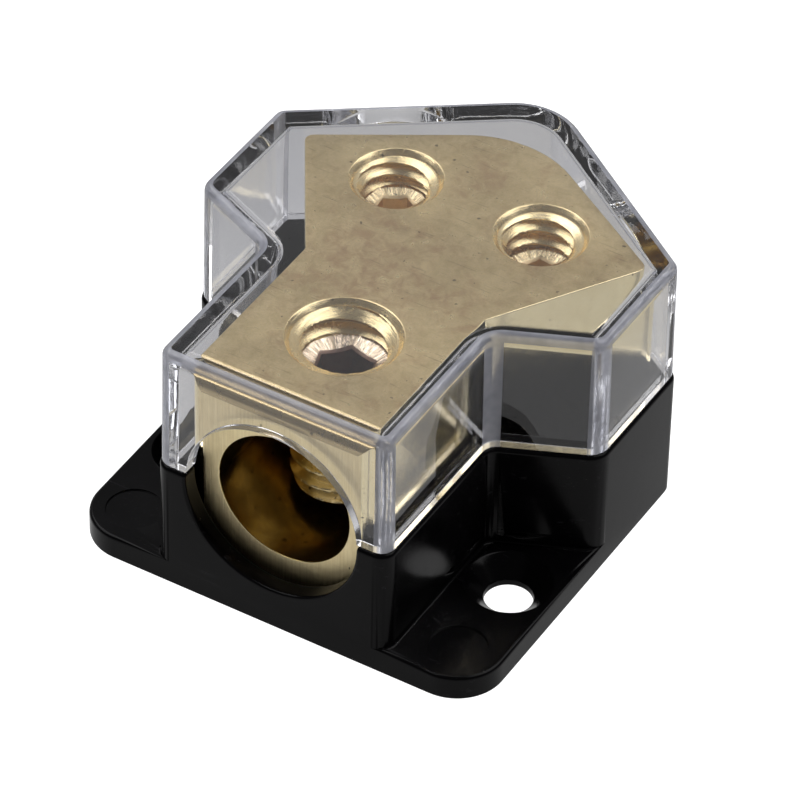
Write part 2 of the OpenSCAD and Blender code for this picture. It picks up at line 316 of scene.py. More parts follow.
# the light and the dark tone of each metal finish
tones = {"top": ((0.79, 0.64, 0.355, 1), (0.42, 0.32, 0.16, 1)),
         "front": ((0.95, 0.81, 0.50, 1), (0.74, 0.60, 0.33, 1)),
         "side": ((0.98, 0.86, 0.55, 1), (0.88, 0.75, 0.44, 1)),
         # the rounded front strip's tones are darker than the other brass: painted shade
         "rolledShaded": ((0.58, 0.46, 0.26, 1), (0.36, 0.275, 0.14, 1)),
         "bore": ((0.76, 0.595, 0.25, 1), (0.25, 0.175, 0.06, 1)),
         "thread": ((0.92, 0.77, 0.45, 1), (0.66, 0.51, 0.26, 1)),
         "paleScrew": ((0.88, 0.74, 0.57, 1), (0.42, 0.32, 0.21, 1)),
         "goldScrew": ((0.90, 0.76, 0.48, 1), (0.48, 0.37, 0.20, 1)),
         # the input screw's socket is painted dark brown: painted shade in the deep hex socket
         "socketShadeBrown": ((0.26, 0.175, 0.135, 1), (0.18, 0.115, 0.09, 1)),
         "goldSocket": ((0.88, 0.72, 0.45, 1), (0.66, 0.50, 0.28, 1)),
         "steel": ((0.62, 0.62, 0.64, 1), (0.5, 0.5, 0.52, 1))}

# shares of the marks in the tone, colours of the marks, and depths in mm; smears are strongest at smearMiddle
metal = {"blotchShare": 0.35, "cloudShare": 0.45, "gritShare": 0.2, "dull": 0.05, "shine": 0.03,
         "lineNoise": (1.0, 4.0, 0.7), "lineShare": 0.6, "toneRange": (0.35, 0.65), "riseRange": (0.25, 0.75),
         "smearNoise": (0.3, 4.0, 0.65, 0.6), "smearRange": (0.5, 0.68), "smearGaps": (0.85, 0.15),
         "smearMiddle": (-2.5, -2.5, 19.9), "smearNear": 2.0, "smearFar": 9.0, "smearMore": 0.16,
         "smearColour": (0.42, 0.27, 0.15, 1), "hairColour": (0.22, 0.155, 0.08, 1), "hairFineness": 1.4,
         "hairDepth": 0.004, "pitColour": (0.06, 0.04, 0.02, 1), "pitSize": 0.2, "pitStrength": 0.75,
         "spokeNoise": (3.0, 3.0, 0.7), "spokeRange": (0.36, 0.64), "spokeRough": 0.2, "spokeDepth": 0.02}


def makeBrass(name, tone, roughness, smear=0.0, scratch=0.4, lineScale=None, lineDepth=0.0, pits=0.1,
              gritDepth=0.0015, spokes=0.0):
    # metal with blotches, hair scratches and pits; smear adds brown patches, lineScale adds brushed or turned
    # lines, fine along its large numbers, and spokes adds the radial marks of a stamped screw head
    m = metal
    light, dark = tones[tone]
    material, work = newMaterial(name)
    place = work.millimetres()
    marks = work.use(mottle, Vector=place)
    share = work.weighted((marks["Blotch"], m["blotchShare"]), (marks["Cloud"], m["cloudShare"]),
                          (marks["Grit"], m["gritShare"]))
    height = work.math("MULTIPLY", marks["Grit"], gritDepth)
    rough = work.ramp(marks["Cloud"], 0.0, 1.0, roughness + m["dull"], roughness - m["shine"])
    if lineScale is not None:
        lines = work.noise(work.place(place, scale=lineScale), *m["lineNoise"])
        lineTone = work.ramp(lines, *m["toneRange"])
        share = work.weighted((share, 1 - m["lineShare"]), (lineTone, m["lineShare"]))
        rise = work.ramp(lines, *m["riseRange"])
        height = work.math("ADD", height, work.math("MULTIPLY", rise, lineDepth))
    if spokes:
        spoke = work.put("ShaderNodeAttribute", attribute_name="spoke").outputs["Vector"]
        ray = work.ramp(work.noise(spoke, *m["spokeNoise"]), *m["spokeRange"])
        share = work.weighted((share, 1 - spokes), (ray, spokes))
        smoother = work.math("MULTIPLY", work.math("SUBTRACT", 0.5, ray), m["spokeRough"])
        rough = work.math("ADD", rough, smoother)
        height = work.math("ADD", height, work.math("MULTIPLY", ray, m["spokeDepth"]))
    colour = work.mix(share, dark, light)
    if smear:
        away = work.distance(place, m["smearMiddle"])
        more = work.ramp(away, m["smearNear"], m["smearFar"], m["smearMore"], 0.0)
        patch = work.ramp(work.math("ADD", work.noise(place, *m["smearNoise"]), more), *m["smearRange"])
        patch = work.math("MULTIPLY", patch, work.ramp(marks["Cloud"], *m["smearGaps"]))
        colour = work.mix(work.math("MULTIPLY", patch, smear, clamp=True), colour, m["smearColour"])
    hairs = work.use(hairScratches, Vector=place, Amount=scratch, Fineness=m["hairFineness"])["Mask"]
    colour = work.mix(hairs, colour, m["hairColour"])
    spots = work.use(specks, Vector=place, Share=pits, Size=m["pitSize"])["Mask"]
    colour = work.mix(work.math("MULTIPLY", spots, m["pitStrength"]), colour, m["pitColour"])
    height = work.math("SUBTRACT", height, work.math("MULTIPLY", hairs, m["hairDepth"]))
    work.surface(work.principled(colour, rough, height, {"Metallic": 1.0}))
    return material


bored = {"blotchShare": 0.6, "cloudShare": 0.4, "pits": 0.3, "pitSize": 0.3, "pitStrength": 0.6, "dull": 0.27,
         "smooth": 0.17, "ringScale": 5.0, "ringNoise": (1.0, 4.0, 0.6), "ringDepth": 0.006,
         "gritDepth": 0.001}


def makeBored(name, axisTurn):
    # drilled wall: faint uneven rings across the bore's axis (Y after the turn), over patches of tarnish
    b = bored
    light, dark = tones["bore"]
    material, work = newMaterial(name)
    place = work.millimetres()
    marks = work.use(mottle, Vector=place)
    along = work.put("ShaderNodeSeparateXYZ", {0: work.place(place, turn=(0, 0, axisTurn))}).outputs["Y"]
    line = work.put("ShaderNodeCombineXYZ", {1: along}).outputs[0]
    rings = work.noise(work.place(line, scale=(1, b["ringScale"], 1)), *b["ringNoise"])
    share = work.weighted((marks["Blotch"], b["blotchShare"]), (marks["Cloud"], b["cloudShare"]))
    spots = work.use(specks, Vector=place, Share=b["pits"], Size=b["pitSize"])["Mask"]
    colour = work.mix(work.math("MULTIPLY", spots, b["pitStrength"]), work.mix(share, dark, light),
                      metal["pitColour"])
    height = work.weighted((rings, b["ringDepth"]), (marks["Grit"], b["gritDepth"]))
    rough = work.ramp(marks["Cloud"], 0.0, 1.0, b["dull"], b["smooth"])
    work.surface(work.principled(colour, rough, height, {"Metallic": 1.0}))
    return material


blackLook = {"low": (0.0012, 0.0011, 0.0013, 1), "high": (0.0026, 0.0024, 0.0028, 1), "specular": 0.1,
             "ior": 1.5, "smooth": 0.14, "dull": 0.22, "hairColour": (0.09, 0.09, 0.1, 1), "hairAmount": 0.6,
             "hairFineness": 0.45, "hairStrength": 0.12, "hairRough": 0.1, "rubbedNoise": (0.5, 5.0, 0.7),
             "rubbedRange": (0.58, 0.75), "rubbedRough": 0.08, "waveNoise": (0.18, 3.0, 0.6),
             "waveRange": (0.3, 0.7), "waveDepth": 0.016, "grainNoise": (11.0, 2.0, 0.5), "grainDepth": 0.0006}


def makeBlackPlastic():
    # glossy moulding: slow waviness, faint rubbed patches and a hair line here and there
    b = blackLook
    material, work = newMaterial("blackPlastic")
    place = work.millimetres()
    hairs = work.use(hairScratches, Vector=place, Amount=b["hairAmount"], Fineness=b["hairFineness"])["Mask"]
    wave = work.noise(place, *b["waveNoise"])
    grain = work.noise(place, *b["grainNoise"])
    rubbed = work.ramp(work.noise(place, *b["rubbedNoise"]), *b["rubbedRange"])
    colour = work.mix(work.ramp(wave, *b["waveRange"]), b["low"], b["high"])
    colour = work.mix(work.math("MULTIPLY", hairs, b["hairStrength"]), colour, b["hairColour"])
    rough = work.math("ADD", work.ramp(wave, *b["waveRange"], b["smooth"], b["dull"]),
                      work.weighted((hairs, b["hairRough"]), (rubbed, b["rubbedRough"])))
    height = work.weighted((wave, b["waveDepth"]), (grain, b["grainDepth"]))
    gloss = {"IOR": b["ior"], "Specular IOR Level": b["specular"]}
    work.surface(work.principled(colour, rough, height, gloss))
    return material


# the second pair of tones is a painted reflection: lilac-grey in place of the light that the thick clear walls
# reflect inside
clearLook = {"clear": ((0.955, 0.955, 0.975, 1), (0.925, 0.925, 0.95, 1)),
             "paintedReflection": ((0.68, 0.69, 0.76, 1), (0.40, 0.41, 0.48, 1)), "shadow": (0.92, 0.92, 0.93, 1),
             "ior": 1.49, "specular": 0.35, "hairAmount": 0.6, "hairFineness": 0.6, "hairRough": 0.05,
             "hairDepth": 0.002, "waveNoise": (0.3, 3.0, 0.6), "waveRange": (0.3, 0.7), "waveDepth": 0.003,
             "unevenness": 0.02}


def makeClearPlastic(name, tone, roughness, transmission):
    # clear moulding with a faint cool tint, or with the painted reflection's lilac-grey tones; light passes
    # straight through it to what lies below
    c = clearLook
    light, dark = c[tone]
    material, work = newMaterial(name)
    place = work.millimetres()
    hairs = work.use(hairScratches, Vector=place, Amount=c["hairAmount"], Fineness=c["hairFineness"])["Mask"]
    wave = work.noise(place, *c["waveNoise"])
    height = work.weighted((wave, c["waveDepth"]), (hairs, c["hairDepth"]))
    colour = work.mix(work.ramp(wave, *c["waveRange"]), dark, light)
    rough = work.math("ADD", work.ramp(wave, *c["waveRange"], roughness, roughness + c["unevenness"]),
                      work.math("MULTIPLY", hairs, c["hairRough"]))
    shader = work.principled(colour, rough, height, {"IOR": c["ior"], "Specular IOR Level": c["specular"],
                                                     "Transmission Weight": transmission})
    through = work.put("ShaderNodeBsdfTransparent", {"Color": c["shadow"]})
    path = work.put("ShaderNodeLightPath")
    work.surface(work.put("ShaderNodeMixShader", {0: path.outputs["Is Shadow Ray"], 1: shader.outputs[0],
                                                  2: through.outputs[0]}))
    return material


topBrass = makeBrass("brassTop", "top", 0.3, smear=0.7, scratch=0.6, pits=0.2)
frontBrass = makeBrass("brassFront", "front", 0.36, scratch=0.15, lineScale=(8.0, 8.0, 0.25), lineDepth=0.02)
sideBrass = makeBrass("brassSides", "side", 0.14, scratch=0.25, pits=0.06, gritDepth=0.0008)
# the rounded front strip: rolled lines, and darker tones that are painted shade
rolledShadedBrass = makeBrass("brassRolledShaded", "rolledShaded", 0.28, scratch=0.3, lineScale=(0.25, 8.0, 8.0),
                        lineDepth=0.004)
frontBore = makeBored("brassBoreFront", 0)
leftBore = makeBored("brassBoreLeft", -32)
rightBore = makeBored("brassBoreRight", 32)
threadBrass = makeBrass("brassThreads", "thread", 0.24, scratch=0.1, lineScale=(0.15, 0.15, 6.0),
                        lineDepth=0.012, pits=0.15, gritDepth=0.001)
paleScrew = makeBrass("brassScrewPale", "paleScrew", 0.22, scratch=0.2, spokes=0.8)
goldScrew = makeBrass("brassScrewGold", "goldScrew", 0.22, scratch=0.2, spokes=0.8)
# dark brown painted shade for the input screw's hex socket
socketShadeBrown = makeBrass("brassSocketShadeBrown", "socketShadeBrown", 0.35, scratch=0.3)
goldSocket = makeBrass("brassSocketGold", "goldSocket", 0.4, scratch=0.3)
steel = makeBrass("fixingSteel", "steel", 0.3, scratch=0.3)
blackPlastic = makeBlackPlastic()
clearPlastic = makeClearPlastic("clearPlastic", "clear", 0.0, 1.0)
# the cover's edges: a lilac-grey, rougher, half see-through finish that is a painted reflection of the light
# reflected inside the thick walls
paintedReflectionPlastic = makeClearPlastic("clearPlasticPaintedReflection", "paintedReflection", 0.16, 0.55)
print("materials ready")

# the outline that base and cover share, measured from the middle of its front wall
housing = {"stemX": 10.0, "headX": 17.6007, "neckY": 14.3961, "shoulderY": 17.7961, "sideY": 29.0217,
           "apexY": 41.5762, "middleY": 20.1602, "jointZ": 11.3, "boreZ": 10.9, "hubY": 17.85,
           "armAngle": 32.0, "cornerR": 1.3, "neckR": 1.2, "shoulderR": 1.8, "apexR": 5.5, "leastR": 0.15,
           "arcSteps": 12, "archSteps": 36}


def unit(v):
    return v / np.linalg.norm(v, axis=-1, keepdims=True)


def housingColumns(openings):
    # Each column of the outline is c + d m + s max(r - s d, least radius) w, for an offset d inwards: c is a
    # corner, m its mitre, s the corner's sense, r its radius and w the mitre less the turned wall normal. A
    # column beside a cable opening has w = 0 and slides along the cable's own direction, so that its place
    # across the opening never changes; its arch stands bore axis + radius sin(phi) high.
    h = housing
    corners = toArray([[-h["stemX"], 0], [h["stemX"], 0], [h["stemX"], h["neckY"]],
                       [h["headX"], h["shoulderY"]], [h["headX"], h["sideY"]], [0, h["apexY"]],
                       [-h["headX"], h["sideY"]], [-h["headX"], h["shoulderY"]], [-h["stemX"], h["neckY"]]])
    radii = toArray([h["cornerR"], h["cornerR"], h["neckR"], h["shoulderR"], h["cornerR"], h["apexR"],
                     h["cornerR"], h["shoulderR"], h["neckR"]])
    along = unit(np.roll(corners, -1, axis=0) - corners)
    wallIn = np.stack([-along[:, 1], along[:, 0]], axis=1)
    before = np.roll(wallIn, 1, axis=0)
    mitre = (before + wallIn) / (1 + np.sum(before * wallIn, axis=1, keepdims=True))
    turn = np.arctan2(before[:, 0] * wallIn[:, 1] - before[:, 1] * wallIn[:, 0],
                      np.sum(before * wallIn, axis=1))
    sense = np.where(turn > 0, 1.0, -1.0)
    angle = turn[:, None] * np.linspace(0, 1, h["arcSteps"] + 1)
    turned = np.stack([before[:, 0, None] * np.cos(angle) - before[:, 1, None] * np.sin(angle),
                       before[:, 0, None] * np.sin(angle) + before[:, 1, None] * np.cos(angle)], axis=-1)
    parts = []
    for i in range(len(corners)):
        n = angle.shape[1]
        parts.append([np.tile(corners[i], (n, 1)), np.tile(mitre[i], (n, 1)), np.full(n, sense[i]),
                      np.full(n, radii[i]), mitre[i] - turned[i], np.zeros(n)])
        if i in openings:
            radius, origin, out = openings[i]
            across = toArray([-out[1], out[0]])
            start = math.asin((h["jointZ"] - h["boreZ"]) / radius)
            phi = np.linspace(math.pi - start, start, h["archSteps"] + 1)
            slope = along[i] @ across
            reach = (radius * np.cos(phi) * np.sign(slope) - (corners[i] - origin) @ across) / slope
            n = len(phi)
            parts.append([corners[i] + reach[:, None] * along[i], np.tile(out / (out @ wallIn[i]), (n, 1)),
                          np.ones(n), np.ones(n), np.zeros((n, 2)),
                          h["boreZ"] + radius * np.sin(phi) - h["jointZ"]])
    return [np.concatenate(rows) for rows in zip(*parts)]


def cableOpenings(inputRadius, outputRadius):
    # wall number: opening radius, a point on the cable's axis, and the way out
    h = housing
    a = math.radians(h["armAngle"])
    hub = toArray([0, h["hubY"]])
    return {0: (inputRadius, toArray([0, 0]), toArray([0, -1])),
            4: (outputRadius, hub, toArray([math.sin(a), math.cos(a)])),
            5: (outputRadius, hub, toArray([-math.sin(a), math.cos(a)]))}


def outlineAt(columns, offset):
    # offset is rows by columns; gives rows by columns of x, y centred on the part
    corner, mitre, sense, radius, swing, _ = columns
    arc = sense * np.maximum(radius - sense * offset, housing["leastR"])
    flat = corner + offset[..., None] * mitre + arc[..., None] * swing
    return flat - toArray([0, housing["middleY"]])


# draft and angles are in degrees; from the row and at the corners tighter than the radius given below, the
# outer skin gets a painted reflection: a lilac-grey, half see-through finish in place of the light that the
# thick clear wall reflects inside
cover = {"topZ": 22.0, "wall": 1.4, "top": 1.3, "inset": 0.15, "edgeR": 0.65, "innerR": 0.5, "draft": 0.7,
         "airGap": 0.05, "inputOpening": 7.3, "outputOpening": 5.0, "lastRing": 0.3, "wallRows": 4,
         "roundRows": 10, "paintedReflectionFrom": 1, "paintedReflectionCornerR": 3, "shadeAngle": 35, "rimEdge": 0.1, "rimAngle": 40}


def makeCover():
    # Outer skin: rows rise from the rim (or the arch above it) to the rounded top edge, and a last ring lies
    # flat on top. The inner skin does the same one wall further in. The rim joins them, and a face closes each
    # top.
    c = cover
    columns = housingColumns(cableOpenings(c["inputOpening"], c["outputOpening"]))
    corner, _, _, cornerR, swing, arch = columns
    lean = math.tan(math.radians(c["draft"]))

    def skin(inset, topZ, radius):
        low = housing["jointZ"] + np.maximum(arch, c["airGap"])
        up = np.linspace(0, 1, c["wallRows"])[:, None]
        wallZ = low * (1 - up) + (topZ - radius) * up
        a = np.linspace(0, math.pi / 2, c["roundRows"])[1:, None]
        roundZ = topZ - radius * (1 - np.sin(a)) + 0 * arch
        z = np.vstack([wallZ, roundZ, roundZ[-1:]])
        extra = np.vstack([0 * wallZ, radius * (1 - np.cos(a)) + 0 * arch,
                           np.full((1, len(arch)), radius + c["lastRing"])])
        flat = outlineAt(columns, inset + (z - housing["jointZ"]) * lean + extra)
        return np.concatenate([flat, z[..., None]], axis=-1)

    outer = skin(c["inset"], c["topZ"], c["edgeR"])
    inner = skin(c["inset"] + c["wall"], c["topZ"] - c["top"], c["innerR"])
    rows = np.concatenate([outer[::-1], inner])
    count, width = rows.shape[:2]
    faces = gridFaces(count, width)
    faces.append(list(range(width)))
    faces.append(list(range((count - 1) * width, count * width))[::-1])
    # the rounded top edge and the outer corners, where one looks along the thickness of the moulding, get a
    # painted reflection: a lilac-grey, half see-through finish in place of the light reflected inside the wall
    turning = np.abs(swing).sum(axis=1) > 1e-9
    sameCorner = (corner == np.roll(corner, -1, axis=0)).all(axis=1)
    paintedReflectionCorner = turning & np.roll(turning, -1) & sameCorner & (cornerR < c["paintedReflectionCornerR"])
    paintedReflection = np.zeros((count - 1, width), dtype=np.int32)
    paintedReflection[c["paintedReflectionFrom"]:c["roundRows"]] = 1
    paintedReflection[c["roundRows"]:len(outer) - 1, paintedReflectionCorner] = 1
    finish = np.append(paintedReflection.ravel(), [0, 0])
    piece = makePiece("clearCover", rows.reshape(-1, 3), faces, "cover_body", ["cover"], finish)
    piece.data.materials.append(clearPlastic)
    piece.data.materials.append(paintedReflectionPlastic)
    shadeByAngle(piece, c["shadeAngle"])
    _, turn = edgeTurns(piece.data)
    softenEdges(piece, turn, c["rimAngle"], c["rimEdge"], 2)


makeCover()
print("cover ready")

# Widths of the rounded edges in mm by where they lie: rim, plate, foot, root (all others), hole and mark (the
# round mould mark on the plate). The plate's edge fades out towards the tangents, where it meets the walls.
base = {"rim": 0.4, "plate": 0.3, "foot": 0.15, "root": 0.25, "hole": 0.12, "mark": 0.03, "edgeAngle": 32,
        "near": 0.05, "fade": 0.3, "fadeGap": 1.0, "plateZ": 2.1, "tangents": ((8.7, -20.16), (17.6, -1.46)),
        "holeAt": (13.7, -8.664), "holeR": 3.5, "markAt": (14.05, -16.61), "markR": 2.3, "markLow": 1.0,
        "cornerAt": (13.7, -16.26), "cornerR": 3.85, "cornerBand": 0.1, "fixingY": 0.69, "fixingR": 3.2}


def makeBase():
    # the CAD base with each kind of edge rounded by its own width
    b = base
    piece = mergedCopy("base", "blackBase", "base_body")
    piece.data.materials.append(blackPlastic)
    middle, turn = edgeTurns(piece.data)
    x, y, z = np.abs(middle[:, 0]), middle[:, 1], middle[:, 2]

    def within(place, radius):
        return np.hypot(x - place[0], y - place[1]) < radius

    width = np.full(len(z), b["root"])
    onPlate = np.abs(z - b["plateZ"]) < b["near"]
    inward = np.minimum(cadHigh[0] / mm - x, y - cadLow[1] / mm)
    width[onPlate] = np.minimum(b["root"], b["fade"] * np.maximum(inward[onPlate], 0))
    width[z > housing["jointZ"] - b["near"]] = b["rim"]
    cx, cy = b["cornerAt"]
    inner = b["cornerR"] - b["cornerBand"]
    outside = (x > cx + inner) | (y < cy - inner) | ((x > cx) & (y < cy) & ~within(b["cornerAt"], inner))
    away = np.min([np.hypot(x - px, y - py) for px, py in b["tangents"]], axis=0)
    plateEdge = onPlate & outside
    width[plateEdge] = np.clip(b["fade"] * (away[plateEdge] - b["fadeGap"]), 0, b["plate"])
    width[z < b["near"]] = b["foot"]
    width[within(b["holeAt"], b["holeR"])] = b["hole"]
    width[within(b["markAt"], b["markR"]) & (z > b["markLow"])] = b["mark"]
    width[within((0, b["fixingY"]), b["fixingR"])] = b["hole"]
    softenEdges(piece, turn, b["edgeAngle"], width, 3)
    shadeByAngle(piece, b["edgeAngle"])


makeBase()

# places in mm: the front bore's inner step lies at stepY and its drilled cone past coneY, and bankY parts the
# front bore from the other two; level, slanted, tilted and boreTilted are parts of a face's normal
block = {"frontY": -18.16, "topZ": 19.9, "stripR": 1.2, "hubY": -2.31, "bankY": -1.31, "boreTop": 16.6,
         "boreBottom": 3, "stepY": -14.13, "coneY": -5.6, "boreR": 5.55, "innerBoreR": 5.35,
         "screwHoleX": 4.1, "near": 0.03, "level": 0.95, "slanted": 0.3, "tilted": 0.03, "boreTilted": 0.02,
         "frontBand": 0.3, "softEdge": 0.08, "coneEdge": 0.8, "edgeAngle": 32, "shadeAngle": 30}


def smoothBore(mesh):
    # the front bore's inner step is carried out to the bore's own radius, straight up where the screw's hole
    # crosses
    b = block
    points, _, _ = readMesh(mesh)
    x, y, z = points.T
    rise = z - housing["boreZ"]
    fromAxis = np.hypot(x, rise)
    step = (np.abs(fromAxis - b["innerBoreR"]) < b["near"]) & (y < b["bankY"])
    grow = b["boreR"] / fromAxis
    lifted = step & (rise > 0) & (np.abs(x) < b["screwHoleX"])
    newZ = np.where(lifted, housing["boreZ"] + np.sqrt(np.maximum(b["boreR"] ** 2 - x ** 2, 0)),
                    np.where(step, housing["boreZ"] + rise * grow, z))
    moved = np.stack([np.where(step & ~lifted, x * grow, x), y, newZ], axis=1)
    # the step's two rings have points of their own: both are drawn together on those of the outer ring that
    # lie nearest to the inner ring's
    onStep = np.abs(y - b["stepY"]) < b["near"]
    inner = np.flatnonzero(onStep & step)
    outer = np.flatnonzero(onStep & ~step & (np.abs(fromAxis - b["boreR"]) < b["near"]))
    apart = np.linalg.norm(moved[inner][:, None] - moved[outer][None], axis=2)
    shared = outer[np.unique(apart.argmin(axis=1))]
    for ring in (inner, outer):
        apart = np.linalg.norm(moved[ring][:, None] - moved[shared][None], axis=2)
        moved[ring] = moved[shared[apart.argmin(axis=1)]]
    mesh.vertices.foreach_set("co", (moved * mm).ravel())
    cleanMesh(mesh, 1e-5)


def makeBlock():
    # the CAD block: its sides, top, front, rounded front strip, bores and hole chamfers get their own finish
    # by place and normal; the front strip's finish is darkened with painted shade
    b = block
    piece = mergedCopy("terminal_block", "brassBlock", "base_body")
    mesh = piece.data
    smoothBore(mesh)
    looks = (sideBrass, topBrass, frontBrass, rolledShadedBrass, frontBore, leftBore, rightBore, threadBrass)
    side, top, front, rolledShaded, boreFront, boreLeft, boreRight, chamfer = range(len(looks))
    for material in looks:
        mesh.materials.append(material)
    _, middle, normal = readMesh(mesh)
    x, y, z = middle.T
    _, ny, nz = normal.T
    highUp = z > b["topZ"] - b["stripR"]
    finish = np.full(len(middle), side, dtype=np.int32)
    finish[nz > b["level"]] = top
    finish[highUp & (nz < b["level"]) & (nz > b["slanted"])] = chamfer
    finish[(ny < -b["level"]) & (y < b["frontY"] + b["frontBand"])] = front
    finish[highUp & (ny < -b["tilted"]) & (nz > b["tilted"]) & (y < b["frontY"] + b["stripR"])] = rolledShaded
    inBore = (y > b["frontY"] + b["near"]) & (z < b["boreTop"]) & (z > b["boreBottom"])
    inBore &= np.abs(nz) > b["boreTilted"]
    finish[inBore] = np.where(y[inBore] < b["bankY"], boreFront, np.where(x[inBore] < 0, boreLeft, boreRight))
    mesh.polygons.foreach_set("material_index", finish)
    shadeByAngle(piece, b["shadeAngle"])
    middle, turn = edgeTurns(mesh)
    x, y, z = middle.T
    # the drill's cone runs into the front bore's wall in a broad curve, all other edges are just broken
    onWall = np.abs(np.hypot(x, z - housing["boreZ"]) - b["boreR"]) < b["near"]
    coneRim = onWall & (y > b["coneY"]) & (y < b["hubY"])
    softenEdges(piece, turn, b["edgeAngle"], np.where(coneRim, b["coneEdge"], b["softEdge"]), 3)


makeBlock()
print("base and block ready")

inputScrew = {"name": "inputScrew", "x": 0.0, "y": -9.9602, "radius": 3.97, "pitch": 1.41, "topZ": 17.45,
              "length": 10.45, "hex": 3.97, "turn": 47, "body": "input_screw_body", "node": "input_set_screw",
              "boreRadius": 5.55, "boreTurn": 0.0, "finish": (paleScrew, socketShadeBrown)}
outputLeftScrew = {"name": "outputScrewLeft", "x": -6.2530, "y": 7.6967, "radius": 3.175, "pitch": 1.27,
                   "topZ": 17.2, "length": 6.65, "hex": 3.17, "turn": 33, "body": "output_screw_left_body",
                   "node": "output_set_screw_left", "boreRadius": 3.6, "boreTurn": 32.0,
                   "finish": (goldScrew, goldSocket)}
outputRightScrew = {"name": "outputScrewRight", "x": 6.2530, "y": 7.6967, "radius": 3.175, "pitch": 1.27,
                    "topZ": 16.55, "length": 6.65, "hex": 3.17, "turn": 58, "body": "output_screw_right_body",
                    "node": "output_set_screw_right", "boreRadius": 3.6, "boreTurn": -32.0,
                    "finish": (goldScrew, goldSocket)}
# depthShare of the pitch, gain and flat of the groove's flanks; chamfer to backing are of the hole's thread
thread = {"depthShare": 0.55, "gain": 1.3, "flat": 0.15, "rowsPerPitch": 26, "columns": 192, "clear": 0.05,
          "chamfer": 0.4, "leadSlope": 3, "edgeInset": 0.3, "aboveBore": 0.05, "backing": 0.04,
          "shadeAngle": 40}
# Bevels are shares of the radius, and socketDepth of the hexagon. The numbers from wallReach to tipUp tell the
# finishes apart: wallReach is a share of the dish's radius, threadDrop of the top bevel, and those that end in
# Up are the upward part of a face's normal.
head = {"topBevel": 0.14, "tipBevel": 0.2, "lip": 0.12, "dishSlope": 0.5, "dishRows": 3, "mouth": 0.2,
        "socketDepth": 0.95, "socketPoint": 0.5, "wallReach": 0.8, "wallLow": 0.6, "wallUp": 0.8,
        "floorHigh": 0.1, "floorUp": 0.2, "threadDrop": 0.8, "threadIn": 0.3, "tipUp": -0.9,
        "spokeSpread": 3, "spokeLength": 0.15}


def threadCut(s, angle, z):
    # how deep a right-hand thread's groove is at each place: a flattened zigzag of z / pitch - angle / 360
    phase = (z / s["pitch"] - angle / (2 * math.pi)) % 1.0
    flank = np.clip(thread["gain"] * np.abs(2 * phase - 1) - thread["flat"], 0, 1)
    return thread["depthShare"] * s["pitch"] * flank


def aroundAxis(s, radius, angle, z):
    return np.stack([s["x"] + radius * np.cos(angle), s["y"] + radius * np.sin(angle), z], axis=-1)


def makeThread(s):
    # Tapped hole's thread: radius = outside radius - groove, and at the top no less than a steep cone's, which
    # ends the thread at the hole's chamfer. Each column starts where the hole breaks into the cable bore, at
    # bore axis + sqrt(bore radius^2 - distance across^2).
    t = thread
    angle = np.arange(t["columns"]) * 2 * math.pi / t["columns"]
    top = block["topZ"] - t["chamfer"]
    across = (s["radius"] - t["edgeInset"]) * np.cos(angle - math.radians(s["boreTurn"]))
    low = housing["boreZ"] + np.sqrt(s["boreRadius"] ** 2 - across ** 2) + t["aboveBore"]
    count = int((top - low.min()) / s["pitch"] * t["rowsPerPitch"])
    up = np.linspace(0, 1, count)[:, None]
    z = low * (1 - up) + top * up
    turned = angle + 0 * z
    radius = np.maximum(s["radius"] - threadCut(s, turned, z), s["radius"] + t["leadSlope"] * (z - top))
    backR = s["radius"] + t["backing"] + 0 * low
    outerBottom = aroundAxis(s, backR, angle, low)[None]
    outerTop = aroundAxis(s, backR, angle, top + 0 * low)[None]
    rows = np.concatenate([outerBottom, aroundAxis(s, radius, turned, z), outerTop, outerBottom])
    faces = gridFaces(len(rows), rows.shape[1])
    piece = makePiece(s["name"] + "Thread", rows.reshape(-1, 3), faces, "base_body")
    piece.data.materials.append(threadBrass)
    shadeByAngle(piece, t["shadeAngle"])


def finishScrew(s, mesh, dishR, floorZ, topBevel):
    h = head
    for material in (*s["finish"], threadBrass):
        mesh.materials.append(material)
    points, middle, normal = readMesh(mesh)
    # for the radial marks: the direction from the screw's axis, and the distance from it shortened
    out = points[:, :2] - toArray([s["x"], s["y"]])
    far = np.maximum(np.hypot(out[:, 0], out[:, 1]), 1e-6)
    spoke = np.stack([h["spokeSpread"] * out[:, 0] / far, h["spokeSpread"] * out[:, 1] / far,
                      h["spokeLength"] * far], axis=1)
    mesh.attributes.new("spoke", "FLOAT_VECTOR", "POINT").data.foreach_set("vector", spoke.ravel())
    # finishes: 0 head, 1 socket (on the input screw its dark brown is painted shade), 2 threads and tip
    reach = np.hypot(middle[:, 0] - s["x"], middle[:, 1] - s["y"])
    drop, up = middle[:, 2] - s["topZ"], normal[:, 2]
    socketWall = (reach < dishR * h["wallReach"]) & (drop > floorZ - h["wallLow"]) & (up < h["wallUp"])
    socketFloor = (reach < s["hex"] / 2) & (drop < floorZ + h["floorHigh"]) & (up > h["floorUp"])
    inSocket = socketWall | socketFloor
    threaded = (drop < -h["threadDrop"] * topBevel) & (reach > dishR - h["threadIn"])
    below = ~inSocket & (threaded | (up < h["tipUp"]))
    mesh.polygons.foreach_set("material_index", (inSocket + 2 * below).astype(np.int32))


